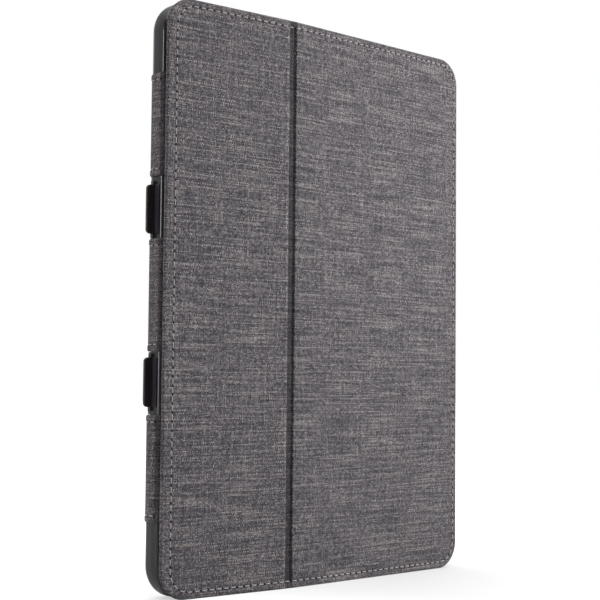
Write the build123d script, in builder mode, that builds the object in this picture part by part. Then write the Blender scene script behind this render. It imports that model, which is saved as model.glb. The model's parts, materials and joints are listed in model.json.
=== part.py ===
"""Folio case for a 9.7-inch tablet, standing upright and closed.

A hard snap-in shell holds the tablet. Three fabric straps run from the shell's back round its left
side to the front cover, which is two fabric-covered panels with a fold between them. Two black hooks
stand in the windows between the straps.

Millimetres. +X is right, +Y is back (the shell's outer back faces +Y), +Z is up. The origin is the
centre of the bounding box's bottom. Every bending line is vertical.
"""

import os
from math import asin, atan2, cos, degrees, radians, sin

from build123d import *

os.makedirs("parts", exist_ok=True)

# The tablet that the shell is made for, and the room around it.
tablet_width = 169.5
tablet_height = 240.0
tablet_depth = 7.5
fit_gap = 0.2
depth_gap = 0.1

# Shell.
wall = 1.5
back_plate = 2.0
tray_lining = 0.3
lip_height = 0.5
lip_reach = 0.7
shell_corner = 13.5
rear_round = 3.5
front_round = 1.5
bay_round = 3.0
pad_margin = 3.0

bay_width = tablet_width + 2 * fit_gap
bay_height = tablet_height + 2 * fit_gap
bay_depth = tray_lining + tablet_depth + depth_gap
shell_width = bay_width + 2 * wall
height = bay_height + 2 * wall
shell_depth = back_plate + bay_depth + lip_height

# Front cover: two panels, each a lining, a board and an outer fabric that wraps the board's edges.
cover_width = 175.2
narrow_width = 65.4
cover_corner = 12.0
lining = 0.5
board = 1.2
fabric = 0.5
panel = lining + board + fabric
edge_round = 0.9
groove_half = 2.0
lining_gap = 0.45
lining_inset = 0.6
lining_edge_round = 0.24

# The closed cover is slightly tented: its gap to the shell at the spine, fold and free edge.
gap_spine = 1.4
gap_fold = 4.8
gap_free = 0.5
narrow_tilt = asin((gap_fold - gap_spine) / narrow_width)
wide_tilt = asin((gap_fold - gap_free) / (cover_width - narrow_width))

# Straps. Each lies in a shallow channel of the shell, flush with its back and proud of its side.
strap_outer = 0.5
strap_inner = 0.4
strap = strap_outer + strap_inner
strap_proud = 0.7
strap_clear = 0.2
strap_tail = 24.0
strap_root = 14.0
root_thickness = 0.8
end_gap = 0.25
strap_corner = 2.0
strap_bend = rear_round + strap_proud
strap_heights = {"upper": 42.0, "middle": 45.6, "lower": 42.8}
strap_centres = {"upper": 191.2, "middle": 121.9, "lower": 52.2}
overhang = 0.2

# Hooks: an L-section with two pegs that are staked through the shell's side wall, and a longer foot
# along its rear edge.
hook_height = 20.0
hook_centres = {"upper": height / 2 + 35.0, "lower": height / 2 - 35.0}
hook_base = 0.7
hook_seat = 0.4
hook_front = 2.1
hook_length = 4.8
hook_reach = 3.5
hook_flange = 1.3
hook_corner = 1.8
hook_tip_round = 0.4
foot_height = 23.0
foot_length = 1.8
foot_thickness = 1.3
peg_radius = 0.9
peg_clear = 0.1
peg_spacing = 12.0

# Sewing: the seam's distance from the cover's edges, from the fold, and from each end of a strap.
seam_inset = 3.0
spine_seam_inset = 4.4
seam_stop = 4.0
thread = 0.4
hem = 2.2
hem_length = 5.5

# Where things stand, so that the bounding box is centred on the origin.
cover_offset = strap_proud + overhang
overall_width = hook_reach + cover_width - cover_offset
ridge = (
    narrow_width * sin(narrow_tilt)
    + lining / 2 * cos(narrow_tilt)
    - (groove_half + edge_round) * sin(wide_tilt)
    + (panel - lining / 2 - edge_round) * cos(wide_tilt)
    + edge_round
)
overall_depth = ridge + gap_spine + shell_depth
shell_left = hook_reach - overall_width / 2
shell_x = shell_left + shell_width / 2
shell_back = overall_depth / 2
shell_front = shell_back - shell_depth
cover_left = shell_left - cover_offset
hook_rear = shell_front + hook_front + hook_length

# The three vertical bending lines.
spine_axis = (shell_left + rear_round, shell_back)
cover_axis = (shell_left - strap_proud, shell_front - gap_spine)
narrow_x = (cos(narrow_tilt), -sin(narrow_tilt), 0)
narrow_out = (-sin(narrow_tilt), -cos(narrow_tilt), 0)
narrow_plane = Plane(origin=(cover_left, cover_axis[1], 0), x_dir=narrow_x, z_dir=narrow_out)
fold_axis = narrow_plane.from_local_coords(Vector(narrow_width, 0, lining / 2))
wide_x = (cos(wide_tilt), sin(wide_tilt), 0)
wide_out = (sin(wide_tilt), -cos(wide_tilt), 0)
wide_plane = Plane(origin=fold_axis - Vector(*wide_out) * lining / 2, x_dir=wide_x, z_dir=wide_out)
wide_width = cover_width - narrow_width

# Magnets in the wide panel, in (x, z, width, height): four along the free edge hold the cover shut,
# two wake the tablet.
magnet_depth = 1.0
magnet_gap = 0.1
closure_places = [(wide_width - 7.0, z, 4.0, 20.0) for z in (40.0, 95.0, 148.0, 203.0)]
wake_places = [(wide_width - 14.0, z, 5.0, 10.0) for z in (112.0, 128.0)]

# Openings in the shell, seen from the front: (distance from the shell's centre, length, width).
port_y = shell_back - back_plate - tray_lining - tablet_depth / 2
connector = (0.0, 16.0, 6.0)
speakers = [(-45.0, 36.0, 5.0), (45.0, 36.0, 5.0)]
power_button = (62.0, 18.0, 5.4)
jack = (-62.0, 7.0)
volume_buttons = (height - 62.0, 46.0, 5.4)
camera = (shell_x + 71.5, height - 15.0, 12.0)
microphone = (shell_x + 60.5, height - 15.0, 2.4)


def channel_profile():
    """Closed outline, seen from above, of what a strap's channel takes out of the shell."""
    floor = strap_bend - strap - strap_clear
    bend_y = shell_back - strap_bend
    tail_end = spine_axis[0] + strap_tail
    with BuildLine() as outline:
        Polyline(
            (spine_axis[0], bend_y + floor),
            (spine_axis[0], shell_back - strap),
            (tail_end, shell_back - strap),
            (tail_end, shell_back + 1),
            (shell_left - 1, shell_back + 1),
            (shell_left - 1, shell_front - 1),
            (spine_axis[0] - floor, shell_front - 1),
            (spine_axis[0] - floor, bend_y),
        )
        CenterArc((spine_axis[0], bend_y), floor, 180, -90)
    return outline.line


def build_shell():
    """The snap-in tray: back, rounded side walls, a lip that holds the tablet in, and its openings."""
    with BuildPart() as shell:
        with BuildSketch(Plane.XZ.offset(-shell_back)):
            with Locations((shell_x, height / 2)):
                RectangleRounded(shell_width, height, shell_corner)
        extrude(amount=shell_depth)
        fillet(shell.edges().group_by(Axis.Y)[-1], rear_round)
        fillet(shell.edges().group_by(Axis.Y)[0], front_round)
        with BuildSketch(Plane.XZ.offset(-(shell_back - back_plate))):
            with Locations((shell_x, height / 2)):
                RectangleRounded(bay_width, bay_height, shell_corner - wall)
        extrude(amount=bay_depth, mode=Mode.SUBTRACT)
        bay_floor = shell.faces().filter_by(Axis.Y).sort_by(Axis.Y)[-2]
        fillet(bay_floor.outer_wire().edges(), bay_round)
        with BuildSketch(Plane.XZ.offset(-(shell_front + lip_height))):
            with Locations((shell_x, height / 2)):
                RectangleRounded(
                    bay_width - 2 * lip_reach,
                    bay_height - 2 * lip_reach,
                    shell_corner - wall - lip_reach,
                )
        extrude(amount=lip_height, mode=Mode.SUBTRACT)

        # Channels for the straps.
        for name, centre in strap_centres.items():
            tall = strap_heights[name] + 2 * strap_clear
            with BuildSketch(Plane.XY.offset(centre - tall / 2)):
                with BuildLine():
                    add(channel_profile())
                make_face()
            extrude(amount=tall, mode=Mode.SUBTRACT)

        # Seats and peg holes for the hooks.
        for centre in hook_centres.values():
            with BuildSketch(Plane.YZ.offset(shell_left - 1)):
                with Locations((hook_rear - hook_length / 2, centre)):
                    Rectangle(hook_length + 2 * peg_clear, hook_height + 2 * peg_clear)
                with Locations((hook_rear - foot_length / 2, centre)):
                    Rectangle(foot_length + 2 * peg_clear, foot_height + 2 * peg_clear)
            extrude(amount=1 + hook_seat, mode=Mode.SUBTRACT)
            with BuildSketch(Plane.YZ.offset(shell_left)):
                with Locations(*peg_places(centre)):
                    Circle(peg_radius + peg_clear)
            extrude(amount=wall + 1, mode=Mode.SUBTRACT)

        # Openings in the bottom, top and right walls and in the back.
        with BuildSketch(Plane.XY.offset(-1)):
            for centre, length, width in [connector, *speakers]:
                with Locations((shell_x + centre, port_y)):
                    SlotOverall(length, width)
        extrude(amount=wall + 2, mode=Mode.SUBTRACT)
        with BuildSketch(Plane.XY.offset(height - wall - 1)):
            with Locations((shell_x + power_button[0], port_y)):
                SlotOverall(power_button[1], power_button[2])
            with Locations((shell_x + jack[0], port_y)):
                Circle(jack[1] / 2)
        extrude(amount=wall + 2, mode=Mode.SUBTRACT)
        with BuildSketch(Plane.YZ.offset(shell_left + shell_width - wall - 1)):
            with Locations((port_y, volume_buttons[0])):
                SlotOverall(volume_buttons[1], volume_buttons[2], rotation=90)
        extrude(amount=wall + 2, mode=Mode.SUBTRACT)
        with BuildSketch(Plane.XZ.offset(-(shell_back + 1))):
            for x, z, diameter in [camera, microphone]:
                with Locations((x, z)):
                    Circle(diameter / 2)
        extrude(amount=back_plate + 2, mode=Mode.SUBTRACT)
    return shell


def peg_places(centre):
    """Where a hook's two pegs are, as (y, z)."""
    peg_y = hook_rear - hook_flange - (hook_length - hook_flange) / 2
    return [(peg_y, centre - peg_spacing / 2), (peg_y, centre + peg_spacing / 2)]


def build_tray_lining():
    """Thin microfibre pad on the shell's inner back, from near its bottom to just under the camera."""
    bottom = wall + bay_round
    top = camera[1] - camera[2] / 2 - pad_margin
    with BuildPart() as pad:
        with BuildSketch(Plane.XZ.offset(-(shell_back - back_plate))):
            with Locations((shell_x, (bottom + top) / 2)):
                RectangleRounded(bay_width - 2 * bay_round, top - bottom, shell_corner - wall - bay_round)
        extrude(amount=tray_lining)
    return pad


def build_hook(centre):
    """One black hook: a base and foot on the shell's side, a flange that stands out of it, and two pegs."""
    base_x = shell_left + hook_seat
    with BuildPart() as hook:
        with BuildSketch(Plane.YZ.offset(base_x - hook_base)):
            with Locations((hook_rear - hook_length / 2, centre)):
                Rectangle(hook_length, hook_height)
        extrude(amount=hook_base)
        with BuildSketch(Plane.YZ.offset(base_x - foot_thickness)):
            with Locations((hook_rear - foot_length / 2, centre)):
                Rectangle(foot_length, foot_height)
        extrude(amount=foot_thickness)
        with BuildSketch(Plane.XZ.offset(-hook_rear)) as flange:
            with Locations((base_x, centre)):
                Rectangle(hook_reach + hook_seat, hook_height, align=(Align.MAX, Align.CENTER))
            fillet(flange.vertices().group_by(Axis.X)[0], hook_corner)
        extrude(amount=hook_flange)
        tip = hook.faces().sort_by(Axis.X)[0]
        fillet(tip.edges().filter_by(Axis.Z), hook_tip_round)
        with BuildSketch(Plane.YZ.offset(base_x)):
            with Locations(*peg_places(centre)):
                Circle(peg_radius)
        extrude(amount=wall - hook_seat)
    return hook


def build_strap_layer(centre, tall, outer, inner):
    """One layer of a strap, from the shell's back round its rounded edge and along its side.

    outer and inner are the layer's radii about the middle of the bend."""
    bend_y = shell_back - strap_bend
    front = cover_axis[1] + root_thickness + end_gap
    with BuildPart() as layer:
        with BuildSketch(Plane.XY.offset(centre - tall / 2)):
            with BuildLine():
                CenterArc((spine_axis[0], bend_y), outer, 90, 90)
                Polyline(
                    (spine_axis[0] - outer, bend_y),
                    (spine_axis[0] - outer, front),
                    (spine_axis[0] - inner, front),
                    (spine_axis[0] - inner, bend_y),
                )
                CenterArc((spine_axis[0], bend_y), inner, 180, -90)
                Line((spine_axis[0], bend_y + inner), (spine_axis[0], bend_y + outer))
            make_face()
        extrude(amount=tall)
    return layer


def build_strap_tail(centre, tall):
    """The end of a strap that is bonded into its channel in the shell's back."""
    with BuildPart() as tail:
        with BuildSketch(Plane.XZ.offset(-shell_back)) as outline:
            with Locations((spine_axis[0] + end_gap, centre)):
                Rectangle(strap_tail - 2 * end_gap, tall, align=(Align.MIN, Align.CENTER))
            fillet(outline.vertices().group_by(Axis.X)[-1], strap_corner)
        extrude(amount=strap)
    return tail


def build_strap_root(centre, tall):
    """The end of a strap that is sewn to the inside of the narrow panel."""
    with BuildPart() as root:
        with BuildSketch(narrow_plane) as outline:
            with Locations((overhang, centre)):
                Rectangle(strap_root, tall, align=(Align.MIN, Align.CENTER))
            fillet(outline.vertices().group_by(Axis.X)[-1], strap_corner)
        extrude(amount=-root_thickness)
    return root


def panel_sketch(start, end, grow, round_start):
    """A panel's outline from start to end across its width, grown by grow on its outside edges.

    The corners at the start are rounded if round_start is true, otherwise those at the end."""
    radius = cover_corner + grow
    with BuildSketch(mode=Mode.PRIVATE) as outline:
        with Locations((start, -grow)):
            Rectangle(end - start, height + 2 * grow, align=(Align.MIN, Align.MIN))
        fillet(outline.vertices().group_by(Axis.X)[0 if round_start else -1], radius)
    return outline.sketch


def build_outer_fabric(plane, start, end, round_start):
    """The outer fabric of a panel, wrapped round its board's edges."""
    with BuildPart() as skin:
        with BuildSketch(plane.offset(lining)):
            add(panel_sketch(start, end, 0, round_start))
        extrude(amount=board + fabric)
        outside = skin.faces().filter_by(plane.offset(0)).sort_by(Axis(plane.origin, plane.z_dir))[-1]
        fillet(outside.edges(), edge_round)
        with BuildSketch(plane.offset(lining)):
            add(panel_sketch(start + fabric, end - fabric, -fabric, round_start))
        extrude(amount=board, mode=Mode.SUBTRACT)
    return skin


def build_board(plane, start, end, round_start, pockets=()):
    """A panel's stiff board, with a pocket for each magnet in (x, z, width, height)."""
    with BuildPart() as stiffener:
        with BuildSketch(plane.offset(lining)):
            add(panel_sketch(start + fabric, end - fabric, -fabric, round_start))
        extrude(amount=board)
        if pockets:
            with BuildSketch(plane.offset(lining)):
                for x, z, width, tall in pockets:
                    with Locations((x, z)):
                        Rectangle(width, tall)
            extrude(amount=magnet_depth, mode=Mode.SUBTRACT)
    return stiffener


def build_lining(plane, start, end, round_start):
    """A panel's inner lining, up to the fold on its straight side."""
    with BuildPart() as liner:
        with BuildSketch(plane):
            add(panel_sketch(start, end, -lining_inset, round_start))
        extrude(amount=lining)
        if round_start:
            fold_edges = liner.edges().filter_by(Axis.Z).sort_by(Axis.X)[-2:]
            fillet(fold_edges, lining_edge_round)
    return liner


def build_magnets(places):
    """Flat magnets in the wide panel's board, one solid each."""
    with BuildPart() as magnets:
        with BuildSketch(wide_plane.offset(lining)):
            for x, z, width, tall in places:
                with Locations((x, z)):
                    Rectangle(width - 2 * magnet_gap, tall - 2 * magnet_gap)
        extrude(amount=magnet_depth - magnet_gap / 2)
    return magnets


def build_seam(plane, start, end, inset, round_start):
    """The sewing thread round a panel's outside edges, as one thin band on the fabric."""
    with BuildPart() as seam:
        with BuildSketch(plane.offset(panel)):
            add(panel_sketch(start, end, -inset, round_start))
            inner_start = start + thread if round_start else start - 1
            inner_end = end + 1 if round_start else end - thread
            add(
                panel_sketch(inner_start, inner_end, -inset - thread, round_start),
                mode=Mode.SUBTRACT,
            )
        extrude(amount=thread / 2)
    return seam


# The shell and what is fixed to it.
shell_tray = build_shell()
shell_tray.part.label = "shell_tray"
export_step(shell_tray.part, "parts/shell_tray.step")

tray_pad = build_tray_lining()
tray_pad.part.label = "tray_lining"
export_step(tray_pad.part, "parts/tray_lining.step")

for name, centre in hook_centres.items():
    hook = build_hook(centre)
    hook.part.label = f"{name}_hook"
    export_step(hook.part, f"parts/{name}_hook.step")

# Each strap: bonded tail, outer fabric, lining, and sewn root.
for name, centre in strap_centres.items():
    tall = strap_heights[name]
    split = strap_bend - strap_outer
    pieces = {
        "strap_tail": build_strap_tail(centre, tall),
        "strap": build_strap_layer(centre, tall, strap_bend, split),
        "strap_lining": build_strap_layer(centre, tall, split, strap_bend - strap),
        "strap_root": build_strap_root(centre, tall),
    }
    for kind, piece in pieces.items():
        piece.part.label = f"{name}_{kind}"
        export_step(piece.part, f"parts/{name}_{kind}.step")

# Thread across each hem of the straps, one solid each.
with BuildPart() as hem_stitching:
    with BuildSketch(Plane.YZ.offset(shell_left - strap_proud)):
        for name, centre in strap_centres.items():
            reach = strap_heights[name] / 2 - hem
            for z in (centre - reach, centre + reach):
                with Locations((shell_back - strap_bend, z)):
                    Rectangle(hem_length, thread, align=(Align.MAX, Align.CENTER))
    extrude(amount=-thread / 2)
hem_stitching.part.label = "hem_stitching"
export_step(hem_stitching.part, "parts/hem_stitching.step")

# The cover's two panels.
narrow_end = narrow_width - groove_half
narrow_pieces = {
    "narrow_outer_fabric": build_outer_fabric(narrow_plane, 0, narrow_end, True),
    "narrow_board": build_board(narrow_plane, 0, narrow_end, True),
    "narrow_lining": build_lining(narrow_plane, lining_inset, narrow_width, True),
    "narrow_stitching": build_seam(
        narrow_plane, spine_seam_inset, narrow_end - seam_stop, seam_inset, True
    ),
}
wide_pieces = {
    "wide_outer_fabric": build_outer_fabric(wide_plane, groove_half, wide_width, False),
    "wide_board": build_board(
        wide_plane, groove_half, wide_width, False, closure_places + wake_places
    ),
    "wide_lining": build_lining(wide_plane, lining_gap, wide_width - lining_inset, False),
    "wide_stitching": build_seam(
        wide_plane, groove_half + seam_stop, wide_width - seam_inset, seam_inset, False
    ),
    "closure_magnets": build_magnets(closure_places),
    "wake_magnets": build_magnets(wake_places),
}
for name, piece in {**narrow_pieces, **wide_pieces}.items():
    piece.part.label = name
    export_step(piece.part, f"parts/{name}.step")
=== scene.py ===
"""Looks of the tablet folio case: woven cover, straps and thread, glossy shell and black hooks.

The soft pieces are worked out in millimetres, and mesh_object turns them into the frame's metres. The
camera, the light and the floor are in metres. On the cover, s runs across both panels from the strap
side, z up, and h out of the inner face.
"""

import json
import math

import bpy
import numpy as np
from mathutils import Matrix, Vector


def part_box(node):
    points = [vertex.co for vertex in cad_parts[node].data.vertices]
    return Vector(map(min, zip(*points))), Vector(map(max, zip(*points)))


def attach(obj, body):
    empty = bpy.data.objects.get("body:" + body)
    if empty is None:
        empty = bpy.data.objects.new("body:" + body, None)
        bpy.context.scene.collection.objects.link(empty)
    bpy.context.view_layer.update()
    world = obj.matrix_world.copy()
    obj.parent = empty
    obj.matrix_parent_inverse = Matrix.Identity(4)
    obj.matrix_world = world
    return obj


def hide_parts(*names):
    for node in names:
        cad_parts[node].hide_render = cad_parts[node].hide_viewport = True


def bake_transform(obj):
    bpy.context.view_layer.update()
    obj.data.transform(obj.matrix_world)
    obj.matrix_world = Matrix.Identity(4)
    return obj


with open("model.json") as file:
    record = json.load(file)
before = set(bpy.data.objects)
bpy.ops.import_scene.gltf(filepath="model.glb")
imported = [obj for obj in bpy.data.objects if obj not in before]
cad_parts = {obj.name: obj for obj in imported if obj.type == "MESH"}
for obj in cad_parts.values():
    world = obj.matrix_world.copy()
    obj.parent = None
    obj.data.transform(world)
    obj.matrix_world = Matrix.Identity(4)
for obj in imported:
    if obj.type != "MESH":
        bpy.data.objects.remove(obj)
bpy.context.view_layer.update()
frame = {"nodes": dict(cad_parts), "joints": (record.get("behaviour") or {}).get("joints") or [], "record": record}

# The CAD model's dimensions that the soft pieces follow.
height = 243.4
cover_width = 175.2
narrow_width = 65.4
groove_half = 2.0
cover_corner = 12.0
lining = 0.5
panel = 2.2
gap_spine, gap_fold, gap_free = 1.4, 4.8, 0.5
strap_bend = 4.2
strap_places = {"upper": (191.2, 42.0), "middle": (121.9, 45.6), "lower": (52.2, 42.8)}

joint_at = {joint["name"]: np.array(joint["pos_m"]) * 1000 for joint in frame["joints"]}
spine_axis, cover_axis = joint_at["spine_hinge"], joint_at["cover_hinge"]
shell_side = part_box("shell_tray")[0][0] * 1000

narrow_tilt = math.asin((gap_fold - gap_spine) / narrow_width)
wide_tilt = math.asin((gap_fold - gap_free) / (cover_width - narrow_width))
narrow_x = np.array((math.cos(narrow_tilt), -math.sin(narrow_tilt)))
narrow_out = np.array((-math.sin(narrow_tilt), -math.cos(narrow_tilt)))
wide_x = np.array((math.cos(wide_tilt), math.sin(wide_tilt)))
wide_out = np.array((math.sin(wide_tilt), -math.cos(wide_tilt)))
narrow_origin = cover_axis[:2] - (0.2, 0)
wide_origin = joint_at["fold_hinge"][:2] - wide_out * lining / 2

# The outer fabric: its thickness and edges, how far cloth stays clear of what it lies on, and the
# fabric's slight unevenness on the boards.
fabric = 0.5
edge_round = 0.9
hem_round = 0.7
clearance = 0.03
unevenness = 0.06

# The fabric's ridge and groove at the fold. Each span is where a slope begins and ends, past the fold.
# The ridge stops short of the cover's top and bottom edges, and the groove is shallower there.
ridge_height = 0.22
ridge_rise, ridge_fall = (-4.6, -3.6), (-3.1, -2.4)
ridge_ends = (2.0, 6.0)
groove_depth = 1.22
groove_down, groove_up, groove_shoulder = (-2.9, -1.95), (0.35, 1.6), (1.0, 4.0)
shoulder_share = 0.14
groove_ends = (1.0, 5.0)
groove_end_share = 0.22

# The cover's lining: its distance from the cover's edges, and its crease under the fold.
lining_inset = 0.85
crease_height, crease_width = 0.16, 0.55

# Sewing: the seam's sides (left, right, bottom, top) and corners, and the puckers along it. hole_room is
# the gap between two stitches.
seam_sides = (4.5, cover_width - 2.7, 3.0, height - 3.0)
seam_corner = 9.3
pitch_wanted = 3.6
strap_pitch = 3.2
pucker = 0.16
pucker_width = 0.9
hole_room = 1.0

# Thread: how far a stitch stands up at its middle and dives at its ends, and its two plies' depth and
# turn, in radians per millimetre.
thread_width = 0.42
thread_height = 0.36
stitch_steps = 15
stitch_lift, stitch_dive = 0.13, 0.62
ply_depth = 0.13
ply_turn = 5.5

# The cloth's yarns: the spacing of those that run up it (warp) and across it (weft). The rates say how
# fast tone and slubs change along a yarn, and the steps how much they differ from yarn to yarn.
warp_spacing = 0.58
weft_spacing = 0.45
tone_rate, tone_step = 0.42, 0.73
weft_slub_rate, warp_slub_rate, slub_step = 0.036, 0.04, 0.61

# The straps. Each is in two pieces that meet round the rear bend, at strap_split degrees.
strap_thick = 0.9
strap_body = 0.75
strap_tail = 23.75
strap_reach = 14.0
strap_corner = 2.0
strap_edge = 0.3
front_bend = 1.5
root_slack = 0.42
hem_rise, hem_width, hem_stitch = 0.22, 2.7, 2.75
hem_dip, hem_dip_width = 0.08, 0.35
strap_lining_margin, strap_lining_end = 0.4, 3.0
strap_split = 140.0
strap_bulge = {"upper": 0.45, "middle": 0.1, "lower": 0.9}

# How far the hooks' glossy base stands out of the shell's side, where their finish changes, and the y up
# to which the shell's front rim is painted nearly black, a painted shade where the cover shades it.
hook_base_out = 0.38
painted_rim_shade_y = 2.6


def smooth(x, low, high):
    """A soft step from 0 at low to 1 at high."""
    t = np.clip((np.asarray(x, float) - low) / (high - low), 0, 1)
    return t * t * (3 - 2 * t)


def spaced(*stops):
    """Positions from the first stop to the last, with about each stop's spacing up to the next."""
    parts = []
    for (start, step), (end, _) in zip(stops, stops[1:]):
        parts.append(np.linspace(start, end, max(1, round((end - start) / step)), endpoint=False))
    return np.append(np.concatenate(parts), stops[-1][0])


def mesh_object(name, points, faces, maps):
    """A smooth mesh from points in millimetres. maps holds UV maps in millimetres, per face corner."""
    data = bpy.data.meshes.new(name)
    data.from_pydata((np.asarray(points) / 1000).tolist(), [], np.asarray(faces).tolist())
    for key, values in maps.items():
        data.uv_layers.new(name=key).data.foreach_set("uv", np.asarray(values, np.float32).ravel())
    data.polygons.foreach_set("use_smooth", [True] * len(data.polygons))
    thing = bpy.data.objects.new(name, data)
    bpy.context.scene.collection.objects.link(thing)
    return thing


# The cover.


def on_cover(s, z, h):
    """Points of the closed cover. Between the boards it turns smoothly from panel to panel."""
    s, z, h = np.broadcast_arrays(*(np.asarray(v, float) for v in (s, z, h)))
    near = narrow_origin + s[..., None] * narrow_x + h[..., None] * narrow_out
    far = wide_origin + (s - narrow_width)[..., None] * wide_x + h[..., None] * wide_out
    turned = smooth(s, narrow_width - groove_half, narrow_width + groove_half)
    flat = near + turned[..., None] * (far - near)
    return np.concatenate([flat, z[..., None]], axis=-1)


def to_rounded(s, z, sides, corner):
    """How far outside a rounded rectangle each point is, and how far along it the nearest point is.

    Along runs clockwise from the lower right corner, so leftwards on the bottom side first."""
    left, right, bottom, top = sides
    wide, tall, arc = right - left - 2 * corner, top - bottom - 2 * corner, corner * math.pi / 2
    ds = s - np.clip(s, left + corner, right - corner)
    dz = z - np.clip(z, bottom + corner, top - corner)
    turn = np.arctan2(-dz, ds) % (2 * math.pi)
    quarter = np.minimum(turn // (math.pi / 2), 3).astype(int)
    begin = np.choose(quarter, [0, arc + wide, 2 * arc + wide + tall, 3 * arc + 2 * wide + tall])
    along = begin + corner * (turn - quarter * math.pi / 2)
    along = np.where((ds == 0) & (dz < 0), arc + right - corner - s, along)
    along = np.where((dz == 0) & (ds < 0), 2 * arc + wide + z - bottom - corner, along)
    along = np.where((ds == 0) & (dz > 0), 3 * arc + wide + tall + s - left - corner, along)
    along = np.where((dz == 0) & (ds > 0), 4 * arc + 2 * wide + tall + top - corner - z, along)
    return np.hypot(ds, dz) - corner, along


def on_rounded(along, sides, corner):
    """The points at these distances along the same rounded rectangle."""
    left, right, bottom, top = sides
    wide, tall, arc = right - left - 2 * corner, top - bottom - 2 * corner, corner * math.pi / 2
    begin = np.cumsum([0, arc, wide, arc, tall, arc, wide, arc])
    along = np.asarray(along, float) % (begin[-1] + tall)
    part = np.searchsorted(begin, along, side="right") - 1
    done = along - begin[part]
    turn = np.where(part % 2 == 0, done / corner, math.pi / 2) + part // 2 * math.pi / 2
    run = np.where(part % 2 == 1, done, 0)
    centre_s = np.choose(part // 2, [right - corner, left + corner, left + corner, right - corner])
    centre_z = np.choose(part // 2, [bottom + corner, bottom + corner, top - corner, top - corner])
    start_s = np.where(part == 1, right - corner, np.where(part == 5, left + corner, centre_s))
    start_z = np.where(part == 3, bottom + corner, np.where(part == 7, top - corner, centre_z))
    s = start_s + corner * np.cos(turn) + run * np.choose(part // 2, [-1, 0, 1, 0])
    z = start_z - corner * np.sin(turn) + run * np.choose(part // 2, [0, 1, 0, -1])
    return s, z


def rounded_length(sides, corner):
    """The length round it."""
    left, right, bottom, top = sides
    return 2 * (right - left + top - bottom) - (8 - 2 * math.pi) * corner


seam_length = rounded_length(seam_sides, seam_corner)
seam_count = round(seam_length / pitch_wanted)
seam_pitch = seam_length / seam_count


def past_fold(s, span):
    """A soft step between two distances past the fold."""
    return smooth(s, narrow_width + span[0], narrow_width + span[1])


def from_ends(z, span):
    """A soft step between two distances from the cover's top and bottom edges."""
    return smooth(np.minimum(z, height - z), *span)


def groove(s, z):
    """How far the fabric sinks between the boards, less near the top and bottom edges."""
    ends = groove_end_share + (1 - groove_end_share) * from_ends(z, groove_ends)
    up = (1 - shoulder_share) * past_fold(s, groove_up) + shoulder_share * past_fold(s, groove_shoulder)
    return groove_depth * past_fold(s, groove_down) * (1 - up) * ends


def outer_height(s, z):
    """The outer fabric's height over the cover's inner face."""
    ridge = past_fold(s, ridge_rise) * (1 - past_fold(s, ridge_fall))
    ridge = ridge_height * ridge * from_ends(z, ridge_ends)
    out, along = to_rounded(s, z, seam_sides, seam_corner)
    near_hole = 0.55 + 0.45 * np.cos(2 * math.pi * along / seam_pitch)
    dip = pucker * np.exp(-((out / pucker_width) ** 2)) * near_hole
    crown = unevenness * np.sin(s / 23.0 + 0.7) * np.sin(z / 31.0 + 0.4) * smooth(-out, 3, 9)
    return panel + ridge + crown - dip - groove(s, z)


def rounded_grid(columns, rows, sides, corner):
    """A grid of s and z that is drawn in at the rounded corners."""
    left, right, low, high = sides
    zz = np.asarray(rows)[:, None]
    lift = np.clip(np.maximum(low + corner - zz, zz - (high - corner)), 0, corner)
    inset = corner - np.sqrt(corner**2 - lift**2)
    ss = np.asarray(columns)[None, :]
    reach = 3 * corner
    ss = ss + inset * np.clip((left + reach - ss) / reach, 0, 1)
    ss = ss - inset * np.clip((ss - right + reach) / reach, 0, 1)
    return ss, np.broadcast_to(zz, ss.shape)


def seam_map(flat, faces):
    """Each face corner's distance along the seam and outside it. No face is split by the seam's start."""
    out, along = to_rounded(flat[:, 0], flat[:, 1], seam_sides, seam_corner)
    seam = np.stack([along, out], -1)[faces]
    wraps = np.ptp(seam[..., 0], axis=1) > seam_length / 2
    seam[..., 0] += np.where(wraps[:, None] & (seam[..., 0] < seam_length / 2), seam_length, 0)
    return seam


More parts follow.
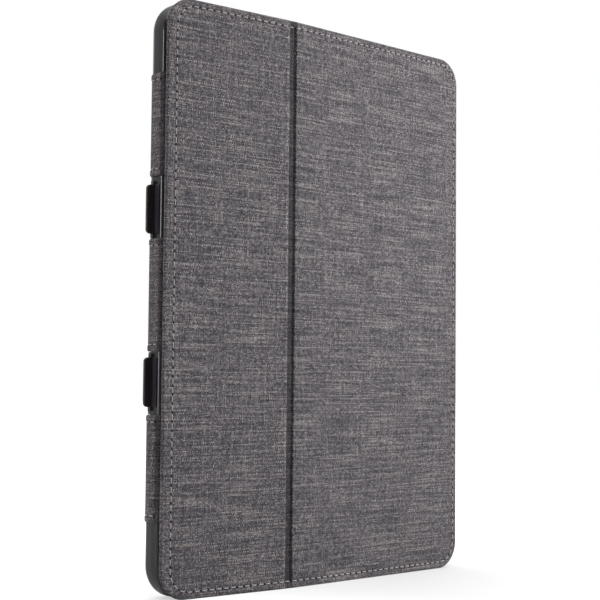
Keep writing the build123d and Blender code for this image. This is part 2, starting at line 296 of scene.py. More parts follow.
def slab(name, columns, rows, sides, corner, top, bottom, floor, rim, place=on_cover):
    """A closed sheet with rounded corners between two height functions, top and bottom.

    columns and rows are its mesh's places in s and z. rim lists the loops round its edge as (distance
    outwards, share of the way down from top to floor)."""
    left, right, low, high = sides
    ss, zz = rounded_grid(columns, rows, sides, corner)
    index = np.arange(ss.size).reshape(ss.shape)
    edge = np.concatenate([index[0, :-1], index[:-1, -1], index[-1, :0:-1], index[:0:-1, 0]])
    s_edge, z_edge = ss.ravel()[edge], zz.ravel()[edge]
    ds = s_edge - np.clip(s_edge, left + corner, right - corner)
    dz = z_edge - np.clip(z_edge, low + corner, high - corner)
    away = np.hypot(ds, dz)
    ds, dz = ds / away, dz / away
    top_edge = top(s_edge, z_edge)

    points = [place(ss, zz, top(ss, zz)).reshape(-1, 3)]
    flat = [np.stack([ss.ravel(), zz.ravel()], -1)]
    rings, travelled, last = [edge], 0.0, (0.0, 0.0)
    for out, share in rim:
        travelled += math.hypot(out - last[0], (share - last[1]) * (panel - floor))
        last = (out, share)
        rings.append(sum(map(len, points)) + np.arange(len(edge)))
        level = top_edge + share * (floor - top_edge)
        points.append(place(s_edge + out * ds, z_edge + out * dz, level))
        flat.append(np.stack([s_edge + travelled * ds, z_edge + travelled * dz], -1))
    below = sum(map(len, points))
    rings.append(below + edge)
    points.append(place(ss, zz, bottom(ss, zz)).reshape(-1, 3))
    flat.append(flat[0])
    points, flat = np.concatenate(points), np.concatenate(flat)

    quads = np.stack([index[:-1, :-1], index[:-1, 1:], index[1:, 1:], index[1:, :-1]], -1).reshape(-1, 4)
    faces = [quads, below + quads[:, ::-1]]
    for upper, lower in zip(rings, rings[1:]):
        faces.append(np.stack([upper, lower, np.roll(lower, -1), np.roll(upper, -1)], -1))
    faces = np.concatenate(faces)
    return mesh_object(name, points, faces, {"weave": flat[faces], "seam": seam_map(flat, faces)})


def corner_rows(sides, corner, step, fine_to=7.0):
    """Row heights that follow the rounded corners closely, and are a step apart between them."""
    low, high = sides[2:]
    turns = np.linspace(0, math.acos(1 - fine_to / corner), 16)
    ends = corner * (1 - np.cos(turns))
    middle = spaced((low + fine_to, step), (high - fine_to, 0))[1:-1]
    return np.concatenate([low + ends, middle, (high - ends)[::-1]])


def build_cover_fabric():
    """The outer fabric of both panels in one piece, wrapped down the boards' edges."""
    sides = (edge_round, cover_width - edge_round, edge_round, height - edge_round)
    corner = cover_corner - edge_round
    columns = spaced((sides[0], 0.45), (8, 0.8), (narrow_width - 5.5, 0.19), (narrow_width + 3.5, 0.8),
                     (cover_width - 6, 0.45), (sides[1], 0))
    rows = corner_rows(sides, corner, seam_pitch / 5)
    depth = panel - lining
    turns = np.linspace(0, math.pi / 2, 7)[1:]
    rim = [(edge_round * math.sin(t), edge_round * (1 - math.cos(t)) / depth) for t in turns]
    turns = np.linspace(0, math.pi / 2, 4)
    rim += [(edge_round - hem_round * (1 - math.cos(t)), 1 - hem_round * (1 - math.sin(t)) / depth)
            for t in turns]
    rim += [(edge_round - fabric, 1), (edge_round - fabric, fabric / depth)]
    return slab("cover_fabric", columns, rows, sides, corner, outer_height,
                lambda s, z: np.maximum(outer_height(s, z) - fabric, lining + clearance), lining, rim)


def build_cover_lining():
    """The microfibre inside of both panels in one piece, creased along the fold."""
    sides = (lining_inset, cover_width - lining_inset, lining_inset, height - lining_inset)
    corner = cover_corner - lining_inset
    columns = spaced((sides[0], 1.5), (narrow_width - 4, 0.25), (narrow_width + 4, 1.5), (sides[1], 0))
    rows = corner_rows(sides, corner, 2.0)
    rim = [(0.1, 0), (0.2, 0.1), (0.25, 0.3), (0.25, 0.7), (0.18, 0.92)]
    return slab("cover_lining", columns, rows, sides, corner,
                lambda s, z: np.full(np.shape(s), lining - 0.02),
                lambda s, z: crease_height * np.exp(-(((s - narrow_width) / crease_width) ** 2)) + 0 * z,
                0, rim)


def build_tray_pad():
    """The microfibre pad on the shell's inner back."""
    low, high = (np.array(corner) * 1000 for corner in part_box("tray_lining"))
    inset = 0.12
    sides = (low[0] + inset, high[0] - inset, low[2] + inset, high[2] - inset)
    corner = 9.0 - inset
    thick = high[1] - low[1]
    columns = spaced((sides[0], 3.0), (sides[1], 0))
    rows = corner_rows(sides, corner, 3.0)
    return slab("tray_pad", columns, rows, sides, corner,
                lambda s, z: thick - clearance + 0.02 * np.sin(s / 3.1) * np.sin(z / 3.7),
                lambda s, z: np.full(np.shape(s), 0.01), 0, [(0.08, 0.12), (inset, 0.4), (inset, 0.97)],
                place=lambda s, z, h: np.stack(np.broadcast_arrays(s, high[1] - h, z), -1))


# Thread.


def stitches(name, middles, normals):
    """One object of stitches. middles and normals are (stitch, step, xyz) along each one's surface line."""
    count, steps, _ = middles.shape
    around = 10
    t = np.linspace(-1, 1, steps)
    ways = np.gradient(middles, axis=1)
    ways /= np.linalg.norm(ways, axis=-1, keepdims=True)
    across = np.cross(ways, normals)
    lift = stitch_lift - stitch_dive * np.abs(t) ** 7
    run = np.linalg.norm(np.diff(middles, axis=1), axis=-1)
    run = np.concatenate([np.zeros((count, 1)), np.cumsum(run, axis=1)], axis=1)
    turn = np.linspace(0, 2 * math.pi, around, endpoint=False)
    twist = 1 + ply_depth * np.cos(2 * turn[None, None] - ply_turn * run[..., None])
    wide = thread_width / 2 * twist * np.cos(turn)
    tall = thread_height / 2 * twist * np.sin(turn) + lift[None, :, None]
    points = middles[:, :, None] + wide[..., None] * across[:, :, None]
    points = points + tall[..., None] * normals[:, :, None]
    index = np.arange(count * steps * around).reshape(count, steps, around)
    turned = np.roll(index, -1, axis=2)
    sides = np.stack([index[:, :-1], turned[:, :-1], turned[:, 1:], index[:, 1:]], -1).reshape(-1, 4)
    half = np.arange(around // 2 - 1)
    caps = [np.stack([index[:, e][:, half], index[:, e][:, half + 1], index[:, e][:, around - 2 - half],
                      index[:, e][:, around - 1 - half]], -1).reshape(-1, 4) for e in (0, -1)]
    faces = np.concatenate([sides[:, ::-1], caps[0], caps[1][:, ::-1]])
    flat = np.broadcast_arrays(run[..., None], turn[None, None] * thread_width / 2)
    flat = np.stack(flat, -1).reshape(-1, 2)
    return mesh_object(name, points.reshape(-1, 3), faces, {"weave": flat[faces]})


def build_cover_stitching():
    """The seam round the cover, a stitch from hole to hole, bridging the groove."""
    reach = (seam_pitch - hole_room) / 2
    along = (np.arange(seam_count) + 0.5)[:, None] * seam_pitch + np.linspace(-reach, reach, stitch_steps)
    s, z = on_rounded(along, seam_sides, seam_corner)
    h = outer_height(s, z)
    share = np.linspace(0, 1, stitch_steps)
    h = np.maximum(h, h[:, :1] + share * (h[:, -1:] - h[:, :1]))
    middles = on_cover(s, z, h)
    return stitches("cover_stitching", middles, on_cover(s, z, h + 1) - middles)


# The straps.


def strap_path():
    """A strap seen from above, along its outer surface from the end of its tail to that of its root.

    Returns its points, their outward normals, their distances, and where its front bend starts."""
    x, back = spine_axis[:2]
    side = x - strap_bend
    centre_x = side + front_bend
    level = front_bend + clearance + root_slack + (centre_x - narrow_origin[0]) * narrow_out[0]
    front = narrow_origin[1] - level / narrow_out[1]
    run_in = (0, 0.05, 0.15, 0.3, 0.6)
    tail = np.append(run_in, spaced((1.2, 1.2), (strap_tail, 0)))
    turns = np.radians(np.arange(95, 181, 5))
    bend_turns = np.radians(np.linspace(180, 270 - math.degrees(narrow_tilt), 13)[1:])
    bend_ways = np.stack([np.cos(bend_turns), np.sin(bend_turns)], -1)
    begin = np.array((centre_x, front)) + front_bend * bend_ways[-1]
    length = strap_reach + 0.2 - (begin - narrow_origin) @ narrow_x
    root = np.append(spaced((0, 1.2), (length - 1.2, 0))[1:], length - np.array(run_in[::-1]))
    levels = np.linspace(back - strap_bend, front, 14)[1:]
    lift = root_slack * smooth(root, 1.5, 8.0)
    points = np.concatenate([
        np.stack([x + strap_tail - tail, np.full(len(tail), back)], -1),
        np.stack([x + strap_bend * np.cos(turns), back - strap_bend + strap_bend * np.sin(turns)], -1),
        np.stack([np.full(len(levels), side), levels], -1),
        np.array((centre_x, front)) + front_bend * bend_ways,
        begin + root[:, None] * narrow_x + lift[:, None] * narrow_out,
    ])
    normals = np.concatenate([
        np.tile((0.0, 1.0), (len(tail), 1)), np.stack([np.cos(turns), np.sin(turns)], -1),
        np.tile((-1.0, 0.0), (len(levels), 1)), bend_ways, np.tile(narrow_out, (len(root), 1)),
    ])
    run = np.append(0, np.cumsum(np.linalg.norm(np.diff(points, axis=0), axis=1)))
    return points, normals, run, run[len(tail) + len(turns) + len(levels) - 1]


path_points, path_normals, path_run, bend_start = strap_path()
side_start = strap_tail + strap_bend * math.pi / 2
split_run = strap_tail + strap_bend * math.radians(strap_split - 90)


def edge_loss(distance, radius):
    """How far a rounded edge falls back, by distance from that edge."""
    d = np.clip(distance, 0, radius)
    return radius - np.sqrt(radius**2 - (radius - d) ** 2)


def strap_rise(name, run, inward):
    """How far a strap's outer surface stands out, by distance along it and inwards from its hem."""
    bulge = smooth(run, strap_tail + 0.5 * (side_start - strap_tail), side_start + 1.5)
    bulge = strap_bulge[name] * bulge * (1 - smooth(run, bend_start - 2.5, bend_start + 0.3))
    hem = hem_rise * smooth(inward, 0.1, 0.7) * (1 - smooth(inward, hem_width - 0.6, hem_width))
    hem = hem - hem_dip * np.exp(-(((inward - hem_stitch) / hem_dip_width) ** 2))
    shown = 0.3 + 0.7 * smooth(run, strap_tail - 2, strap_tail + 2)
    return bulge + hem * shown * (1 - smooth(run, bend_start - 1.0, bend_start + 1.0))


def strip(name, first, last, half, across, centre, outer, inner):
    """A closed band on the strap's path from one distance to another.

    across lists heights from its centre. outer and inner give its two faces' offsets from the path,
    from the distance along and the distance inwards from the band's own edge."""
    keep = slice(int(np.argmin(np.abs(path_run - first))), int(np.argmin(np.abs(path_run - last))) + 1)
    run, points, normals = path_run[keep, None], path_points[keep, None], path_normals[keep, None]
    to_end = np.minimum(run, path_run[-1] - run)
    own_half = half - edge_loss(to_end, strap_corner)
    levels = np.asarray(across) * own_half / half
    inward = own_half - np.abs(levels)
    sheets = []
    for offset in (outer(run, inward), inner(run, inward)):
        flat = points + offset[..., None] * normals
        sheets.append(np.concatenate([flat, centre + levels[..., None]], -1))
    loop = np.concatenate([sheets[0], sheets[1][:, ::-1]], axis=1)
    rows, wide = loop.shape[:2]
    index = np.arange(rows * wide).reshape(rows, wide)
    turned = np.roll(index, -1, axis=1)
    i = np.arange(len(across) - 1)
    faces = np.concatenate([
        np.stack([index[:-1], turned[:-1], turned[1:], index[1:]], -1).reshape(-1, 4),
        np.stack([index[0, i], index[0, wide - 1 - i], index[0, wide - 2 - i], index[0, i + 1]], -1),
        np.stack([index[-1, i], index[-1, i + 1], index[-1, wide - 2 - i], index[-1, wide - 1 - i]], -1),
    ])
    both = np.concatenate([levels, levels[:, ::-1]], axis=1) + centre
    weave = np.stack([np.broadcast_to(run, both.shape), both], -1).reshape(-1, 2)
    from_hem = np.concatenate([inward, inward[:, ::-1]], axis=1) - hem_stitch
    seam = np.stack([np.broadcast_to(run, both.shape), from_hem], -1).reshape(-1, 2)
    return mesh_object(name, loop.reshape(-1, 3), faces, {"weave": weave[faces], "seam": seam[faces]})


def strap_stitches(name, piece, first, last):
    """Stitches along both hems of a strap between two distances along it."""
    centre, tall = strap_places[name]
    holes = np.arange(math.ceil(first / strap_pitch), math.floor(last / strap_pitch))
    reach = (strap_pitch - hole_room) / 2
    run = (holes[:, None] + 0.5) * strap_pitch + np.linspace(-reach, reach, stitch_steps)
    normals = np.stack([np.interp(run, path_run, path_normals[:, k]) for k in (0, 1)] + [0 * run], -1)
    normals /= np.linalg.norm(normals, axis=-1, keepdims=True)
    rise = strap_rise(name, run, np.full(run.shape, hem_stitch))
    line = np.stack([np.interp(run, path_run, path_points[:, k]) for k in (0, 1)] + [0 * run], -1)
    line = line + rise[..., None] * normals
    up = np.array((0, 0, 1))
    lines = [line + up * (centre + side * (tall / 2 - hem_stitch)) for side in (-1, 1)]
    return stitches(f"{name}_{piece}", np.concatenate(lines), np.concatenate([normals, normals]))


def build_strap(name):
    """A strap in two lengths, each with its lining and hem stitches: round the back, and along the side."""
    centre, tall = strap_places[name]
    half = tall / 2
    edge = strap_edge * (1 - np.cos(np.linspace(0, math.pi / 2, 5)))
    inset = half - np.concatenate([edge, spaced((0.5, 0.25), (3.5, 1.2), (half, 0))])
    across = np.concatenate([-inset, inset[-2::-1]])
    lining_half = half - hem_stitch - strap_lining_margin
    lining_across = np.linspace(-lining_half, lining_half, 31)
    last = path_run[-1]

    def outside(run, inward):
        to_end = np.minimum(run, last - run)
        return strap_rise(name, run, inward) - edge_loss(inward, strap_edge) - edge_loss(to_end, strap_edge)

    def inside(run, inward):
        to_end = np.minimum(run, last - run)
        return edge_loss(inward, strap_edge) + edge_loss(to_end, strap_edge) - strap_body

    def lining_outside(run, inward):
        """The face that is bonded to the strap, sunk into it a little so that no gap shows."""
        return 0 * inward - strap_body + 0.02

    def lining_inside(run, inward):
        """The lining is pressed thinner where the front bend folds it."""
        pressed = smooth(run, bend_start - 3.5, bend_start - 1.5)
        pressed = pressed * (1 - smooth(run, bend_start + 2.5, bend_start + 4.5))
        return edge_loss(inward, 0.1) * (1 - pressed) - strap_thick + 0.11 * pressed

    spans = {"back": (0, split_run, "shell", "spine"), "side": (split_run, last, "spine", "narrow_panel")}
    nodes = {"back": [f"{name}_strap_tail"], "side": [f"{name}_strap", f"{name}_strap_root"]}
    for part, (first, end, root, tip) in spans.items():
        body = strip(f"{name}_strap_{part}", first, end, half, across, centre, outside, inside)
        lined = strip(f"{name}_strap_{part}_lining", max(first, strap_lining_end),
                      min(end, last - strap_lining_end), lining_half, lining_across, centre,
                      lining_outside, lining_inside)
        sewn = strap_stitches(name, f"strap_{part}_stitching", max(first, 1.5), min(end, bend_start + 0.5))
        for piece in (body, lined, sewn):
            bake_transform(piece)
        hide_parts(*nodes[part])
        if part == "side":
            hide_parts(f"{name}_strap_lining")
            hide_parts("hem_stitching")
        for piece, finish_of, look in ((body, "outer_fabric", strap_cloth), (lined, "lining", microfibre),
                                       (sewn, "thread", thread_look)):
            piece.data.materials.append(look)


# Materials. Their texture coordinates are in millimetres.

sockets = {"sheen": "Sheen Weight", "sheen_roughness": "Sheen Roughness", "specular": "Specular IOR Level",
           "metallic": "Metallic"}


def put(tree, kind, *inputs, output=0, **settings):
    """Adds a node, with its inputs by order as numbers, tuples or sockets, and returns one output."""
    node = tree.nodes.new(kind)
    for key, value in settings.items():
        setattr(node, key, value)
    for slot, value in zip(node.inputs, inputs):
        if isinstance(value, bpy.types.NodeSocket):
            tree.links.new(value, slot)
        elif value is not None:
            slot.default_value = value
    return node.outputs[output]


def calc(tree, operation, *inputs):
    """The result of a Math node."""
    return put(tree, "ShaderNodeMath", *inputs, operation=operation)


def blur_step(tree, value, low, high, start=0.0, end=1.0):
    """A soft step from start to end as the value goes from low to high."""
    return put(tree, "ShaderNodeMapRange", value, low, high, start, end, interpolation_type="SMOOTHSTEP")


def band(tree, value, rise, fall, peak=1.0):
    """A soft band: it rises from 0 to its peak over one span of the value and falls back over another."""
    return calc(tree, "MULTIPLY", blur_step(tree, value, *rise, 0.0, peak),
                blur_step(tree, value, *fall, 1.0, 0.0))


def vary(tree, tone, texture, weight):
    """A tone made lighter and darker by a texture that runs from 0 to 1."""
    return calc(tree, "ADD", tone, calc(tree, "MULTIPLY_ADD", texture, weight, -weight / 2))


def ramp(tree, factor, *stops):
    """A colour ramp from (position, linear colour) stops."""
    node = tree.nodes.new("ShaderNodeValToRGB")
    while len(node.color_ramp.elements) < len(stops):
        node.color_ramp.elements.new(1.0)
    for element, (position, colour) in zip(node.color_ramp.elements, stops):
        element.position = position
        element.color = (*colour, 1)
    tree.links.new(factor, node.inputs[0])
    return node.outputs[0]


def noise(tree, vector, scale, detail=2.0, roughness=0.5):
    return put(tree, "ShaderNodeTexNoise", vector, None, scale, detail, roughness, noise_dimensions="3D")


def combine(tree, x, y, z=0.0):
    return put(tree, "ShaderNodeCombineXYZ", x, y, z)


def mixed(tree, factor, first, second, blend_type="MIX"):
    """Two colours mixed by a factor."""
    return put(tree, "ShaderNodeMix", factor, None, None, None, None, None, first, second, output=2,
               data_type="RGBA", blend_type=blend_type)


def object_place(tree, scale=(1000, 1000, 1000)):
    """Where a point is on its object, in millimetres or by another scale from metres."""
    place = put(tree, "ShaderNodeTexCoord", output=3)
    return put(tree, "ShaderNodeVectorMath", place, scale, operation="MULTIPLY")


def begin_material(name, roughness, **constants):
    """A material with its shader's constants set, and its node tree and shader."""
    look = bpy.data.materials.new(name)
    look.use_nodes = True
    shader = look.node_tree.nodes["Principled BSDF"]
    shader.inputs["Roughness"].default_value = roughness
    for key, value in constants.items():
        shader.inputs[sockets[key]].default_value = value
    return look, look.node_tree, shader


def finish_material(tree, shader, colour, relief, distance, roughness=None):
    """Links a colour, a bump of that height in millimetres, and maybe a roughness."""
    tree.links.new(colour, shader.inputs["Base Color"])
    bump = tree.nodes.new("ShaderNodeBump")
    bump.inputs["Strength"].default_value = 1.0
    bump.inputs["Distance"].default_value = distance / 1000
    tree.links.new(relief, bump.inputs["Height"])
    tree.links.new(bump.outputs[0], shader.inputs["Normal"])
    if roughness is not None:
        tree.links.new(roughness, shader.inputs["Roughness"])


def plain_weave(tree, u, v):
    """Yarns that pass over and under each other.

    Returns each place's warp and weft by number, 1 where the warp is on top, and the relief."""

    def rounded(place):
        middle = calc(tree, "SUBTRACT", calc(tree, "FRACT", place), 0.5)
        return calc(tree, "COSINE", calc(tree, "MULTIPLY", middle, math.pi))

    warp_place, weft_place = calc(tree, "DIVIDE", u, warp_spacing), calc(tree, "DIVIDE", v, weft_spacing)
    warp, weft = calc(tree, "FLOOR", warp_place), calc(tree, "FLOOR", weft_place)
    warp_up = calc(tree, "FLOORED_MODULO", calc(tree, "ADD", warp, weft), 2.0)
    round_u, round_v = rounded(warp_place), rounded(weft_place)
    warp_height = calc(tree, "MULTIPLY", round_u, calc(tree, "MULTIPLY_ADD", round_v, 0.5, 0.5))
    weft_height = calc(tree, "MULTIPLY", round_v, calc(tree, "MULTIPLY_ADD", round_u, 0.5, 0.5))
    relief = put(tree, "ShaderNodeMix", warp_up, None, weft_height, warp_height, data_type="FLOAT")
    return warp, weft, warp_up, relief


def yarn_tone(tree, u, v, warp, weft, warp_up):
    """How light the yarn on top is. It varies along each yarn, with slubs that make longer streaks."""

    def stretched(x, x_rate, y, y_rate, layer):
        return combine(tree, calc(tree, "MULTIPLY", x, x_rate), calc(tree, "MULTIPLY", y, y_rate), layer)

    weft_tone = noise(tree, stretched(u, tone_rate, weft, tone_step, 0.0), 1.0, 2.0, 0.6)
    warp_tone = noise(tree, stretched(warp, tone_step, v, tone_rate, 7.0), 1.0, 2.0, 0.6)
    weft_slub = noise(tree, stretched(u, weft_slub_rate, weft, slub_step, 3.0), 1.0, 1.0)
    warp_slub = noise(tree, stretched(warp, slub_step, v, warp_slub_rate, 5.0), 1.0, 1.0)
    weft_tone = calc(tree, "ADD", weft_tone, calc(tree, "MULTIPLY_ADD", weft_slub, 1.7, -0.84))
    warp_tone = calc(tree, "ADD", warp_tone, calc(tree, "MULTIPLY_ADD", warp_slub, 0.75, -0.435))
    return put(tree, "ShaderNodeMix", warp_up, None, weft_tone, warp_tone, data_type="FLOAT")


def needle_holes(tree, pitch):
    """0 in the holes along the seam's line and 1 away from them."""
    seam = put(tree, "ShaderNodeUVMap", uv_map="seam")
    spot = put(tree, "ShaderNodeSeparateXYZ", seam)
    share = calc(tree, "FRACT", calc(tree, "ADD", calc(tree, "DIVIDE", spot, pitch), 0.5))
    from_hole = calc(tree, "MULTIPLY", calc(tree, "SUBTRACT", share, 0.5), pitch / 0.52)
    aside = calc(tree, "DIVIDE", spot.node.outputs[1], 0.48)
    away = calc(tree, "SQRT", calc(tree, "ADD", calc(tree, "MULTIPLY", from_hole, from_hole),
                                   calc(tree, "MULTIPLY", aside, aside)))
    return blur_step(tree, away, 0.65, 1.3)


def woven(name, hole_pitch, crease, painted_crease_shade, painted_ridge_light):
    """Heathered plain weave with slubs, and needle holes along the seam's line, darkened with painted shade.

    Painted shade: its colour is darkened to painted_crease_shade between the two distances of crease,
    where the cloth is pressed into the fold's groove or the strap's front bend, in place of the shadow there. A
    painted highlight lightens it by painted_ridge_light just before them, where the ridge rises."""
    look, tree, shader = begin_material(name, 0.9, sheen=0.1, sheen_roughness=0.4, specular=0.3)
    weave = put(tree, "ShaderNodeUVMap", uv_map="weave")
    place = put(tree, "ShaderNodeSeparateXYZ", weave)
    waver = noise(tree, weave, 0.13, 1.0)
    u = calc(tree, "ADD", place, calc(tree, "MULTIPLY", waver, 0.5))
    v = calc(tree, "ADD", place.node.outputs[1], calc(tree, "MULTIPLY", waver, 0.4))
    warp, weft, warp_up, relief = plain_weave(tree, u, v)

    cell = put(tree, "ShaderNodeTexWhiteNoise", combine(tree, warp, weft), noise_dimensions="3D")
    fibre = noise(tree, weave, 4.5, 3.0, 0.7)
    patch = noise(tree, weave, 0.09, 2.0)
    tone = calc(tree, "MULTIPLY_ADD", yarn_tone(tree, u, v, warp, weft, warp_up), 1.3, -0.65)
    for texture, weight in ((cell, 0.56), (fibre, 0.6), (patch, 0.2)):
        tone = vary(tree, tone, texture, weight)
    tone = calc(tree, "ADD", tone, 0.445)
    colour = ramp(tree, tone, (0.0, (0.024, 0.022, 0.031)), (0.3, (0.064, 0.058, 0.069)),
                  (0.5, (0.112, 0.101, 0.110)), (0.7, (0.175, 0.157, 0.160)), (1.0, (0.34, 0.305, 0.292)))

    # Painted shade: darker where the weave's relief is low, between the yarns, and nearly black in the needle
    # holes, in place of the shade in these hollows.
    gap = blur_step(tree, relief, 0.1, 0.75, 0.42, 1.0)
    hole = needle_holes(tree, hole_pitch)
    shade = calc(tree, "MULTIPLY", gap, calc(tree, "MULTIPLY_ADD", hole, 0.96, 0.04))
    # Painted shade: between the crease's distances the cloth is darkened, in place of the shadow in the fold's
    # groove or the strap's front bend.
    start, end = crease
    pressed = band(tree, place, (start, start + 0.5), (end - 0.5, end))
    shade = calc(tree, "MULTIPLY", shade, calc(tree, "MULTIPLY_ADD", pressed, painted_crease_shade - 1, 1.0))
    # Painted highlight: just before the crease the cloth is lightened, where the ridge would catch the light.
    painted_ridge_highlight = band(tree, place, (start - 2.1, start - 1.3), (start - 0.3, start + 0.1))
    shade = calc(tree, "MULTIPLY", shade, calc(tree, "MULTIPLY_ADD", painted_ridge_highlight, painted_ridge_light, 1.0))
    colour = mixed(tree, 1.0, colour, combine(tree, shade, shade, shade), "MULTIPLY")
    relief = calc(tree, "ADD", relief, calc(tree, "MULTIPLY", fibre, 0.5))
    relief = calc(tree, "ADD", relief, calc(tree, "MULTIPLY", hole, 2.0))
    finish_material(tree, shader, colour, relief, 0.09)
    return look


def suede(name, dark, light):
    """Brushed microfibre: a fine nap with soft patches of lighter and darker lie."""
    look, tree, shader = begin_material(name, 0.95, sheen=0.35, sheen_roughness=0.5, specular=0.2)
    place = object_place(tree)
    nap = noise(tree, place, 3.2, 3.0, 0.65)
    lie = noise(tree, place, 0.12, 2.0)
    tone = calc(tree, "MULTIPLY_ADD", nap, 0.75, calc(tree, "MULTIPLY_ADD", lie, 0.5, -0.12))
    colour = ramp(tree, tone, (0.15, dark), (0.85, light))
    finish_material(tree, shader, colour, nap, 0.12)
    return look


def moulded(name, colour, lighter, roughness, grain, relief, rim):
    """Moulded plastic, slightly cloudy in colour and gloss, with its grain's size and depth in millimetres.

    In front of rim, a place in y, it is painted nearly black, a painted shade where the cover shades it, and it is
    less glossy there."""
    look, tree, shader = begin_material(name, roughness)
    place = object_place(tree)
    fine = noise(tree, place, 1 / grain, 2.0)
    cloud = noise(tree, place, 0.07, 2.0)
    tint = ramp(tree, cloud, (0.3, colour), (0.7, lighter))
    gloss = calc(tree, "MULTIPLY_ADD", fine, 0.05, roughness - 0.065)
    gloss = calc(tree, "MULTIPLY_ADD", cloud, 0.08, gloss)
    y = put(tree, "ShaderNodeSeparateXYZ", place, output=1)
    # Painted shade: in front of rim the plastic is painted nearly black, in place of the cover's shadow on the
    # shell's front rim.
    front = blur_step(tree, y, rim - 0.8, rim + 0.8, 1.0, 0.0)
    tint = mixed(tree, front, tint, (0.003, 0.0026, 0.003, 1))
    gloss = calc(tree, "MULTIPLY_ADD", front, 0.12, gloss)
    finish_material(tree, shader, tint, fine, relief, roughness=gloss)
    return look


def two_finishes(name, border):
    """The hooks' plastic: satin black on what stands out beyond the border in x, glossy on the base."""
    look, tree, shader = begin_material(name, 0.4, specular=0.4)
    place = object_place(tree)
    grain = 0.16
    fine = noise(tree, place, 1 / grain, 2.0)
    x = put(tree, "ShaderNodeSeparateXYZ", place)
    base = blur_step(tree, x, border - 0.05, border + 0.05)
    tint = ramp(tree, base, (0.0, (0.0105, 0.0085, 0.0082)), (1.0, (0.024, 0.021, 0.027)))
    gloss = calc(tree, "MULTIPLY_ADD", fine, 0.06, 0.38)
    gloss = calc(tree, "ADD", gloss, calc(tree, "MULTIPLY", base, -0.27))
    relief = calc(tree, "MULTIPLY", fine, calc(tree, "SUBTRACT", 1.0, base))
    finish_material(tree, shader, tint, relief, 0.008, roughness=gloss)
    return look


def twisted(name):
    """Sewing thread of two plies, with a painted highlight on their crests and painted shade between them."""
    look, tree, shader = begin_material(name, 0.6, sheen=0.2, sheen_roughness=0.35)
    weave = put(tree, "ShaderNodeUVMap", uv_map="weave")
    place = put(tree, "ShaderNodeSeparateXYZ", weave)
    turn = calc(tree, "DIVIDE", place.node.outputs[1], thread_width / 2)
    ply = calc(tree, "SUBTRACT", calc(tree, "MULTIPLY", turn, 2.0), calc(tree, "MULTIPLY", place, ply_turn))
    # Painted light: the plies' crests are lighter and the twist between them darker, as if lit.
    crest = calc(tree, "MULTIPLY_ADD", calc(tree, "COSINE", ply), 0.35, 0.5)
    fibre = noise(tree, weave, 9.0, 2.0)
    tone = calc(tree, "MULTIPLY_ADD", fibre, 0.5, calc(tree, "SUBTRACT", crest, 0.2))
    colour = ramp(tree, tone, (0.0, (0.15, 0.134, 0.137)), (0.5, (0.28, 0.253, 0.257)),
                  (1.0, (0.43, 0.393, 0.393)))
    finish_material(tree, shader, colour, tone, 0.06)
    return look


def pressed_board(name):
    """Greyboard, with pulp that is drawn out across the board."""
    look, tree, shader = begin_material(name, 0.9)
    place = object_place(tree, (700, 700, 2200))
    pulp = noise(tree, place, 1.6, 4.0, 0.7)
    colour = ramp(tree, pulp, (0.25, (0.19, 0.165, 0.135)), (0.75, (0.42, 0.38, 0.32)))
    finish_material(tree, shader, colour, pulp, 0.05)
    return look


def nickel(name):
    """Nickel plate with fine upright brush marks."""
    look, tree, shader = begin_material(name, 0.35, metallic=1.0)
    place = object_place(tree, (1000, 1000, 60))
    brush = noise(tree, place, 4.0, 2.0)
    colour = ramp(tree, brush, (0.3, (0.46, 0.45, 0.42)), (0.7, (0.62, 0.60, 0.56)))
    finish_material(tree, shader, colour, brush, 0.01)
    return look


# The cover's cloth has painted shade in the fold's groove and a painted highlight on the ridge beside it; the
# straps' cloth has painted shade at the front bend.
cover_cloth = woven("cover_cloth", seam_pitch, crease=(narrow_width - 2.5, narrow_width + 1.5),
                    painted_crease_shade=0.36, painted_ridge_light=0.3)
strap_cloth = woven("strap_cloth", strap_pitch, crease=(bend_start - 1.0, bend_start + 2.0),
                    painted_crease_shade=0.36, painted_ridge_light=0.0)
microfibre = suede("microfibre", dark=(0.040, 0.035, 0.033), light=(0.105, 0.094, 0.088))
thread_look = twisted("thread")
gloss_shell = moulded("gloss_shell", colour=(0.023, 0.0192, 0.026), lighter=(0.028, 0.0235, 0.031),
                      roughness=0.13, grain=1.4, relief=0.002, rim=painted_rim_shade_y)
hook_black = two_finishes("hook_black", border=shell_side - hook_base_out)
slot_looks = {
    "shell": gloss_shell, "hook": hook_black, "outer_fabric": cover_cloth, "lining": microfibre,
    "board": pressed_board("greyboard"), "magnet": nickel("nickel_plate"), "thread": thread_look,
}
for subpart in frame["record"]["subparts"]:
    node = frame["nodes"][subpart["node"]]
    node.data.materials.clear()
    node.data.materials.append(slot_looks[subpart["material_slot"]])

# The soft pieces, each in place of its CAD solids.
for build, finish_of, look, nodes in (
    (build_cover_fabric, "outer_fabric", cover_cloth, ("narrow_outer_fabric", "wide_outer_fabric")),
    (build_cover_lining, "lining", microfibre, ("narrow_lining", "wide_lining")),
    (build_cover_stitching, "thread", thread_look, ("narrow_stitching", "wide_stitching")),
):
    piece = build()
    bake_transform(piece)
    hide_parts(*nodes)
    piece.data.materials.append(look)
pad = build_tray_pad()
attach(pad, "shell")
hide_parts("tray_lining")
pad.data.materials.append(microfibre)
for strap_name in strap_places:
    build_strap(strap_name)


# Camera, light and floor, in metres and degrees. The camera's heading turns from +y towards +x, and its
# rise is how far it looks up.

camera_place = (-0.41571, -0.45306, 0.08803)
camera_turns = {"heading": 41.917, "rise": 3.305, "roll": 0.523}
camera_lens = 83.39
sensor_width = 36

floor_size = 8
# The floor's painted shadow: its glow is lowest round this centre and full beyond the reach, in metres, with the
# glow's strength near and far.
painted_shadow_centre = (0.1, -0.07, 0.0)
painted_shadow_reach = (0.07, 0.24)
glow_strength = (0.2, 0.6)

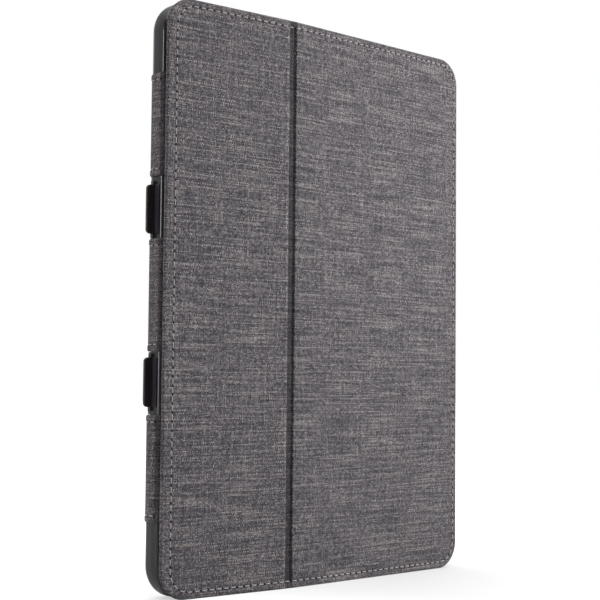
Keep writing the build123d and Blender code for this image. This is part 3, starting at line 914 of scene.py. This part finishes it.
# Two upright lights of the studio, by bearing: 0 is straight to the left, and negative is behind that.
strip_rise, strip_fall = (-33, -29), (-16, -11)
strip_top = (0.27, 0.33)
strip_strength = 12.0
panel_rise, panel_fall = (-85, -70), (-50, -43)
panel_strength = 0.3


def build_camera():
    """The camera, placed and turned by the values above."""
    data = bpy.data.cameras.new("camera")
    data.lens = camera_lens
    data.sensor_width = sensor_width
    camera = bpy.data.objects.new("camera", data)
    bpy.context.scene.collection.objects.link(camera)
    heading, rise, roll = (math.radians(camera_turns[key]) for key in ("heading", "rise", "roll"))
    look = Vector((math.sin(heading) * math.cos(rise), math.cos(heading) * math.cos(rise), math.sin(rise)))
    turn = look.to_track_quat("-Z", "Y").to_matrix() @ Matrix.Rotation(roll, 3, "Z")
    camera.matrix_world = Matrix.Translation(camera_place) @ turn.to_4x4()
    bpy.context.scene.camera = camera


def build_light(name, place, aim, size, spread, power):
    """A square soft box, pointed at aim."""
    data = bpy.data.lights.new(name, "AREA")
    data.size = size
    data.spread = math.radians(spread)
    data.energy = power
    light = bpy.data.objects.new(name, data)
    bpy.context.scene.collection.objects.link(light)
    way = Vector(aim) - Vector(place)
    light.matrix_world = Matrix.Translation(place) @ way.to_track_quat("-Z", "Z").to_matrix().to_4x4()


def build_floor():
    """A pale floor that glows for the camera. It glows less round a point near the object, a painted shadow on the
    floor.
    """
    bpy.ops.mesh.primitive_plane_add(size=floor_size)
    floor = bpy.context.object
    floor.name = "floor"
    look, tree, shader = begin_material("white_floor", 0.8, specular=0.1)
    shader.inputs["Base Color"].default_value = (0.45, 0.45, 0.45, 1)
    shader.inputs["Emission Color"].default_value = (1, 1, 1, 1)
    place = put(tree, "ShaderNodeTexCoord", output=3)
    # Painted shadow: near the object the floor glows less, so it looks shaded there.
    away = put(tree, "ShaderNodeVectorMath", place, painted_shadow_centre, operation="DISTANCE", output=1)
    glow = blur_step(tree, away, *painted_shadow_reach, *glow_strength)
    seen = calc(tree, "MULTIPLY", put(tree, "ShaderNodeLightPath"), glow)
    tree.links.new(seen, shader.inputs["Emission Strength"])
    floor.data.materials.append(look)


def build_world():
    """A studio all round: brightest above, and dim on the left but for a strip of light and a soft panel.

    The camera sees plain white behind the object."""
    world = bpy.data.worlds.new("studio")
    bpy.context.scene.world = world
    world.use_nodes = True
    tree = world.node_tree
    way = put(tree, "ShaderNodeTexCoord")
    x = put(tree, "ShaderNodeSeparateXYZ", way)
    y, z = x.node.outputs[1], x.node.outputs[2]
    from_right = blur_step(tree, calc(tree, "MULTIPLY_ADD", y, -0.2, x), -0.5, 0.8, 0.2, 0.7)
    from_above = blur_step(tree, z, 0.55, 0.85, 0.0, 2.4)
    from_behind = blur_step(tree, y, 0.75, 1.0, 0.0, 1.2)
    bearing = calc(tree, "ARCTAN2", calc(tree, "MULTIPLY", y, -1.0), calc(tree, "MULTIPLY", x, -1.0))
    strip = band(tree, bearing, np.radians(strip_rise), np.radians(strip_fall))
    strip = calc(tree, "MULTIPLY", strip, blur_step(tree, z, *strip_top, 1.0, 0.0))
    level = calc(tree, "MAXIMUM", calc(tree, "MAXIMUM", from_right, from_above), from_behind)
    level = calc(tree, "ADD", level, calc(tree, "MULTIPLY", strip, strip_strength))
    panel_light = band(tree, bearing, np.radians(panel_rise), np.radians(panel_fall), panel_strength)
    level = calc(tree, "ADD", level, panel_light)
    seen = put(tree, "ShaderNodeLightPath")
    level = put(tree, "ShaderNodeMix", seen, None, level, 1.0, data_type="FLOAT")
    tree.nodes["Background"].inputs["Color"].default_value = (1, 1, 1, 1)
    tree.links.new(level, tree.nodes["Background"].inputs["Strength"])


build_camera()
build_world()
build_floor()
build_light("key", place=(0.4, -0.42, 0.42), aim=(0.04, 0, 0.165), size=0.22, spread=78, power=1.14)
bpy.context.scene.view_settings.view_transform = "Standard"
